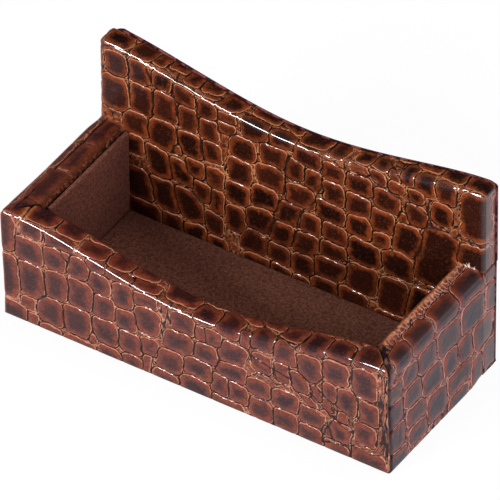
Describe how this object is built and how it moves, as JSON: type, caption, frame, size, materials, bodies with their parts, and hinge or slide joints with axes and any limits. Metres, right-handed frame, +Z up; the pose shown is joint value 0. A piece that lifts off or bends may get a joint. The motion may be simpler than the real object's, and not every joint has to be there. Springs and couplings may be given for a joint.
{
  "type": "business card holder",
  "caption": "Open desk tray with a tall back that keeps business cards upright, boards wrapped in embossed leather and lined with suede",
  "frame": {"origin": "bottom centre of the bounding box, on the surface that it stands on", "axes": "+X along the width to the right as seen from the front, +Y from the low front wall to the tall back, +Z up"},
  "size_m": [0.108, 0.048, 0.0559],
  "materials": {
    "leather": "glossy crocodile embossed",
    "suede": "matte suede nap",
    "board": "raw fibreboard",
    "card": "grey card",
    "felt": "dense felt"
  },
  "bodies": {
    "root": {"front_board": "board", "back_board": "board", "left_board": "board", "right_board": "board", "base_board": "board", "front_leather": "leather", "left_leather": "leather", "right_leather": "leather", "back_leather": "leather", "rear_leather": "leather", "infill_card": "card", "base_felt": "felt", "front_lining_card": "card", "left_lining_card": "card", "right_lining_card": "card", "floor_card": "card", "front_lining_suede": "suede", "left_lining_suede": "suede", "right_lining_suede": "suede", "floor_suede": "suede"}
  },
  "joints": []
}
